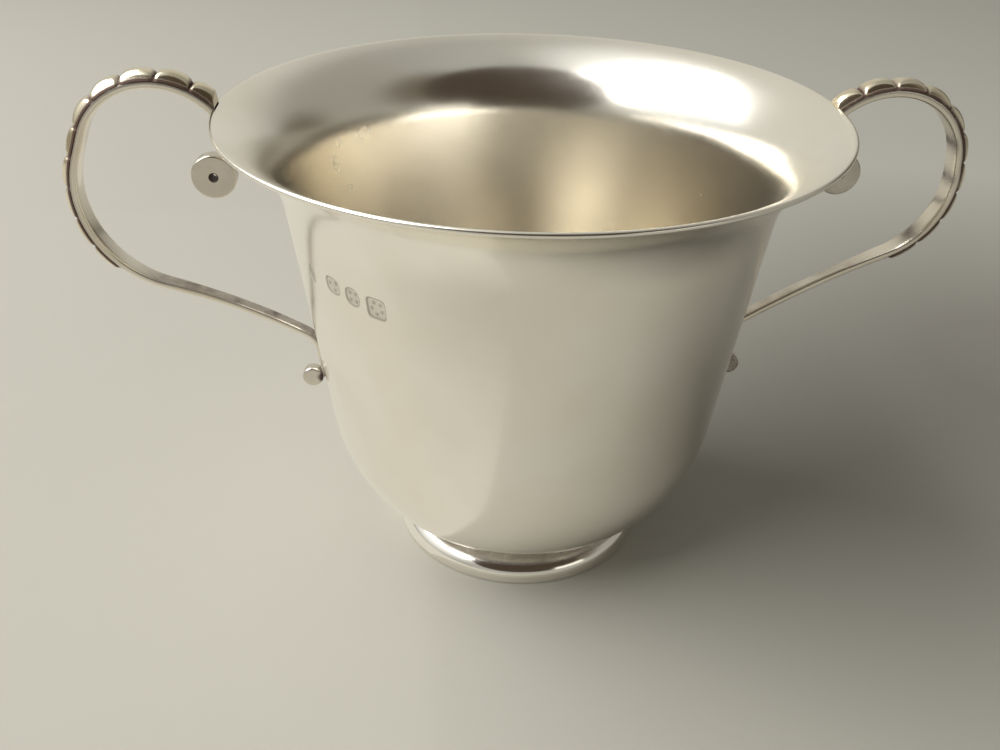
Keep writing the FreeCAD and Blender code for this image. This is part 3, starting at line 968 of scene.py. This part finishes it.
def silver(name, finish):
    """Worn silver: cloudy polish, fine streaks, smudges, and tarnish and painted shade where the mesh asks
    for them.
    """
    graph = Graph(bpy.data.materials.new(name))
    place = graph.place()
    spread = finish["spread"]
    cloud = graph.noise(place, scale=70.0, detail=3.0)
    smudge = graph.noise(place, scale=260.0, detail=5.0, rough=0.62)
    streaks = graph.noise(graph.stretch(place, finish["streak"]), scale=130.0, detail=2.0)
    hairlines = graph.noise(graph.stretch(place, finish["streak"][::-1]), scale=160.0, detail=2.0)
    satin = graph.layer("satin")
    breakup = graph.remap(smudge, (0.3, 0.7), (0.55, 1.25))
    stained_and_shaded = graph.math("MULTIPLY", graph.layer("tarnish_and_shade"), breakup, clamp=True)
    stained_and_shaded = graph.math("MULTIPLY", stained_and_shaded, finish["stain_and_shade_share"], clamp=True)
    colour = graph.mix(graph.remap(cloud, (0.35, 0.65), (0.0, 1.0)), finish["bright"], finish["deep"])
    colour = graph.mix(graph.math("MULTIPLY", satin, SATIN_SHARE), colour, SATIN_COLOUR)
    # The stain colour stands for tarnish, and for painted shade in the roundels' holes.
    colour = graph.mix(stained_and_shaded, colour, finish["stain_and_shade"])
    polish = (finish["roughness"] - spread, finish["roughness"] + spread)
    roughness = graph.remap(cloud, (0.3, 0.7), polish)
    for addition in (
        graph.remap(smudge, (0.45, 0.75), (0.0, SMUDGE_SPREAD * spread)),
        graph.remap(hairlines, (0.3, 0.8), (0.0, HAIRLINE_SPREAD * spread)),
        graph.math("MULTIPLY", satin, SATIN_ROUGHNESS),
        graph.math("MULTIPLY", stained_and_shaded, STAIN_ROUGHNESS),
    ):
        roughness = graph.math("ADD", roughness, addition)
    relief = graph.remap(satin, (0.0, 0.6), (STREAK_STRENGTH, 0.0))
    shader = graph.add("ShaderNodeBsdfPrincipled", {
        "Base Color": colour,
        "Metallic": graph.remap(stained_and_shaded, STAIN_SETS_IN, (1.0, 0.1)),
        "Roughness": roughness,
        "Normal": graph.bump(streaks, relief, STREAK_DEPTH),
        "Specular IOR Level": graph.remap(stained_and_shaded, STAIN_SETS_IN, (0.5, 0.1)),
    })
    return graph.finish(shader)


def cloth():
    """Pale cloth with painted light: a little lighter to the right, with painted shade past a soft crease in
    front of the bowl and a painted shadow to the right of the bowl.
    """
    graph = Graph(bpy.data.materials.new("pale_cloth"))
    place = graph.place()
    x = graph.axis(place, "X")
    drift = graph.noise(place, scale=14.0, detail=3.0)
    weave = graph.noise(place, scale=900.0, detail=2.0)
    inputs = {0: place, 1: CLOTH_PAINTED_SHADOW_PLACE}
    from_painted_shadow = graph.add("ShaderNodeVectorMath", inputs, operation="DISTANCE").outputs["Value"]
    # Painted light: the cloth turns a little lighter from left to right.
    colour = graph.mix(graph.remap(x, (-0.10, 0.20), (0.0, 1.0)), CLOTH_PAINTED_LIGHT_LEFT, CLOTH_PAINTED_LIGHT_RIGHT)
    # Painted shade: a faint darker step in the cloth past the crease.
    colour = graph.mix(graph.remap(x, (-0.019, -0.014), (0.0, 0.05)), colour, CLOTH_PAINTED_CREASE_SHADE)
    colour = graph.mix(graph.remap(drift, (0.4, 0.7), (0.0, 0.06)), colour, CLOTH_DRIFT)
    # Painted shadow of the bowl on the cloth, darkest near its centre.
    colour = graph.mix(graph.remap(from_painted_shadow, (0.13, 0.02), (0.0, 0.75)), colour, CLOTH_PAINTED_SHADOW)
    normal = graph.bump(weave, strength=0.2, distance=0.00008)
    inputs = {"Base Color": colour, "Roughness": 0.9, "Normal": normal}
    return graph.finish(graph.add("ShaderNodeBsdfPrincipled", inputs))


def glow(name, colour, strength):
    """A card that gives off one tone."""
    graph = Graph(bpy.data.materials.new(name))
    return graph.finish(graph.add("ShaderNodeEmission", {"Color": colour, "Strength": strength}))


def fading_glow():
    """The table reflector's tone, which fades towards the camera."""
    graph = Graph(bpy.data.materials.new("table_card"))
    near_camera = graph.remap(graph.axis(graph.place(), "Y"), (-0.035, -0.10), (0.0, 1.0))
    colour = graph.mix(near_camera, (0.70, 0.67, 0.58, 1), (0.50, 0.48, 0.41, 1))
    return graph.finish(graph.add("ShaderNodeEmission", {"Color": colour}))


# ---- stage, in metres ----

FLOOR_REACH = 9.0
FLOOR_SIDES = 96
AIM = Vector((0.0, 0.0, 0.065))     # middle of the bowl's mouth, which the lights face
CARD_SIDES = 48
CARD_ROUNDNESS = 2.6
TABLE_CARD_X = (-0.30, -0.016)
TABLE_CARD_Y = (-0.20, 0.14)
TABLE_CARD_HEIGHT = 0.0008

# Soft areas of the room that the silver reflects: turn, rise, inner and outer
# angle, and colour.
ROOM_LOBES = [
    (20, 25, 10, 60, (0.33, 0.32, 0.285, 1)),
    (108, 22, 14, 58, (0.64, 0.62, 0.55, 1)),
    (-178, 46, 20, 50, (0.97, 0.97, 0.92, 1)),
    (35, 0, 5, 26, (0.10, 0.075, 0.05, 1)),
    (-36, 34, 6, 26, (0.15, 0.13, 0.10, 1)),
]
ROOM_REFLECTED = (0.41, 0.405, 0.37, 1)
ROOM_LIGHT = (0.27, 0.265, 0.245, 1)
ROOM_SEEN = (0.60, 0.59, 0.55, 1)


def stage_shape(name, corners, material):
    """One flat face that is no part of the object."""
    mesh = bpy.data.meshes.new(name)
    mesh.from_pydata(corners, [], [list(range(len(corners)))])
    mesh.materials.append(material)
    obj = bpy.data.objects.new(name, mesh)
    bpy.context.scene.collection.objects.link(obj)
    return obj


def floor():
    """One wide round sheet of cloth under the bowl."""
    outline = [polar((0.0, 0.0), FLOOR_REACH, 360 * i / FLOOR_SIDES) for i in range(FLOOR_SIDES)]
    stage_shape("floor", [(x, y, 0.0) for x, y in outline], cloth())


def facing(direction):
    """A turn whose Z axis points along a direction, with X level."""
    forward = Vector(direction).normalized()
    across = Vector((0, 0, 1)).cross(forward).normalized()
    upward = forward.cross(across)
    return Matrix((across, upward, forward)).transposed().to_4x4()


def direction_of(turn, rise):
    """A unit vector from a compass turn and a rise above level, in degrees."""
    a, b = math.radians(turn), math.radians(rise)
    return Vector((math.cos(a) * math.cos(b), math.sin(a) * math.cos(b), math.sin(b)))


def card(name, turn, rise, distance, width, height, material, round_card=False):
    """A flat card that faces the bowl and shows only in reflections."""
    away = direction_of(turn, rise)
    if round_card:
        outline = round_section(width / 2, height / 2, CARD_ROUNDNESS, CARD_SIDES)
        corners = [(across, above, 0.0) for across, above in outline]
    else:
        corners = [(x * width / 2, y * height / 2, 0) for x, y in ((-1, -1), (1, -1), (1, 1), (-1, 1))]
    obj = stage_shape(name, corners, material)
    obj.matrix_world = Matrix.Translation(AIM + away * distance) @ facing(-away)
    show_in_gloss_only(obj)


def show_in_gloss_only(obj):
    obj.visible_camera = False
    obj.visible_shadow = False
    obj.visible_diffuse = False


def table_reflector(material):
    """A pale card lying at the left of the bowl; its edge shows in the wall as a soft line."""
    left, right = TABLE_CARD_X
    near, far = TABLE_CARD_Y
    corners = [(left, near), (right, near), (right, far), (left, far)]
    level = [(x, y, TABLE_CARD_HEIGHT) for x, y in corners]
    show_in_gloss_only(stage_shape("table_reflector", level, material))


def soft_light(name, turn, rise, distance, width, height, power, colour):
    """A rectangular light that faces the bowl and that the camera doesn't see."""
    away = direction_of(turn, rise)
    data = bpy.data.lights.new(name, "AREA")
    data.shape = "RECTANGLE"
    data.size = width
    data.size_y = height
    data.energy = power
    data.color = colour
    obj = bpy.data.objects.new(name, data)
    obj.matrix_world = Matrix.Translation(AIM + away * distance) @ facing(away)
    obj.visible_camera = False
    bpy.context.scene.collection.objects.link(obj)


def lobe(graph, direction, turn, rise, inner, outer):
    """1 within an angle of a direction, falling to 0 at a wider angle."""
    inputs = {0: direction, 1: direction_of(turn, rise)}
    toward = graph.add("ShaderNodeVectorMath", inputs, operation="DOT_PRODUCT").outputs["Value"]
    near, far = math.cos(math.radians(inner)), math.cos(math.radians(outer))
    return graph.remap(toward, (far, near), (0.0, 1.0), interpolation_type="SMOOTHSTEP")


def room():
    """A world that lights the stage evenly and gives the silver a room to reflect."""
    graph = Graph(bpy.data.worlds.new("room"))
    direction = graph.add("ShaderNodeTexCoord").outputs["Generated"]
    colour = ROOM_REFLECTED
    for turn, rise, inner, outer, tone in ROOM_LOBES:
        colour = graph.mix(lobe(graph, direction, turn, rise, inner, outer), colour, tone)
    rays = graph.add("ShaderNodeLightPath").outputs
    colour = graph.mix(rays["Is Glossy Ray"], ROOM_LIGHT, colour)
    colour = graph.mix(rays["Is Camera Ray"], colour, ROOM_SEEN)
    background = graph.add("ShaderNodeBackground", {"Color": colour})
    bpy.context.scene.world = graph.finish(background, "ShaderNodeOutputWorld")


def lighting():
    """A broad window at the left, even room light, and the dark shapes that silver needs."""
    room()
    soft_light("window", turn=-178, rise=47, distance=0.8, width=0.98, height=0.6,
               power=10.0, colour=(1.0, 0.99, 0.96))
    dark = glow("dark_card", (0.062, 0.045, 0.032, 1), strength=1.0)
    bright = glow("pale_card", (1.0, 0.97, 0.88, 1), strength=1.1)
    table_reflector(fading_glow())
    card("camera_shade", turn=-87, rise=36, distance=0.45, width=0.84, height=0.56,
         material=dark, round_card=True)
    card("low_reflector", turn=-50, rise=8, distance=0.50, width=0.24, height=0.10, material=bright)


def camera():
    """The camera, which looks down at the bowl from the front."""
    yaw, pitch, roll = CAMERA_YAW, CAMERA_PITCH, CAMERA_ROLL
    forward = Vector((
        math.sin(yaw) * math.cos(pitch),
        math.cos(yaw) * math.cos(pitch),
        -math.sin(pitch),
    ))
    level = Vector((math.cos(yaw), -math.sin(yaw), 0))
    above = level.cross(forward)
    right = math.cos(roll) * level + math.sin(roll) * above
    up = math.cos(roll) * above - math.sin(roll) * level
    turn = Matrix((right, up, -forward)).transposed().to_4x4()
    data = bpy.data.cameras.new("camera")
    data.lens = CAMERA_LENS
    data.sensor_width = SENSOR
    data.clip_start = 0.005
    data.clip_end = 20.0
    obj = bpy.data.objects.new("camera", data)
    obj.matrix_world = Matrix.Translation(Vector(CAMERA_PLACE) * MM) @ turn
    bpy.context.scene.collection.objects.link(obj)
    bpy.context.scene.camera = obj


# ---- the scene ----

def main():
    bpy.context.scene.view_settings.view_transform = "Standard"
    finish = {name: silver(name, values) for name, values in FINISHES.items()}
    bowl(finish["bowl_silver"])
    foot(finish["foot_silver"])
    for side in SIDES:
        strap(side, finish["handle_silver"])
        lobes(side, finish["lobe_silver"])
        upper_roundel(side, finish["handle_silver"])
        upper_scroll(side, finish["handle_silver"])
        lower_roundel(side, finish["handle_silver"])
    floor()
    lighting()
    camera()


main()
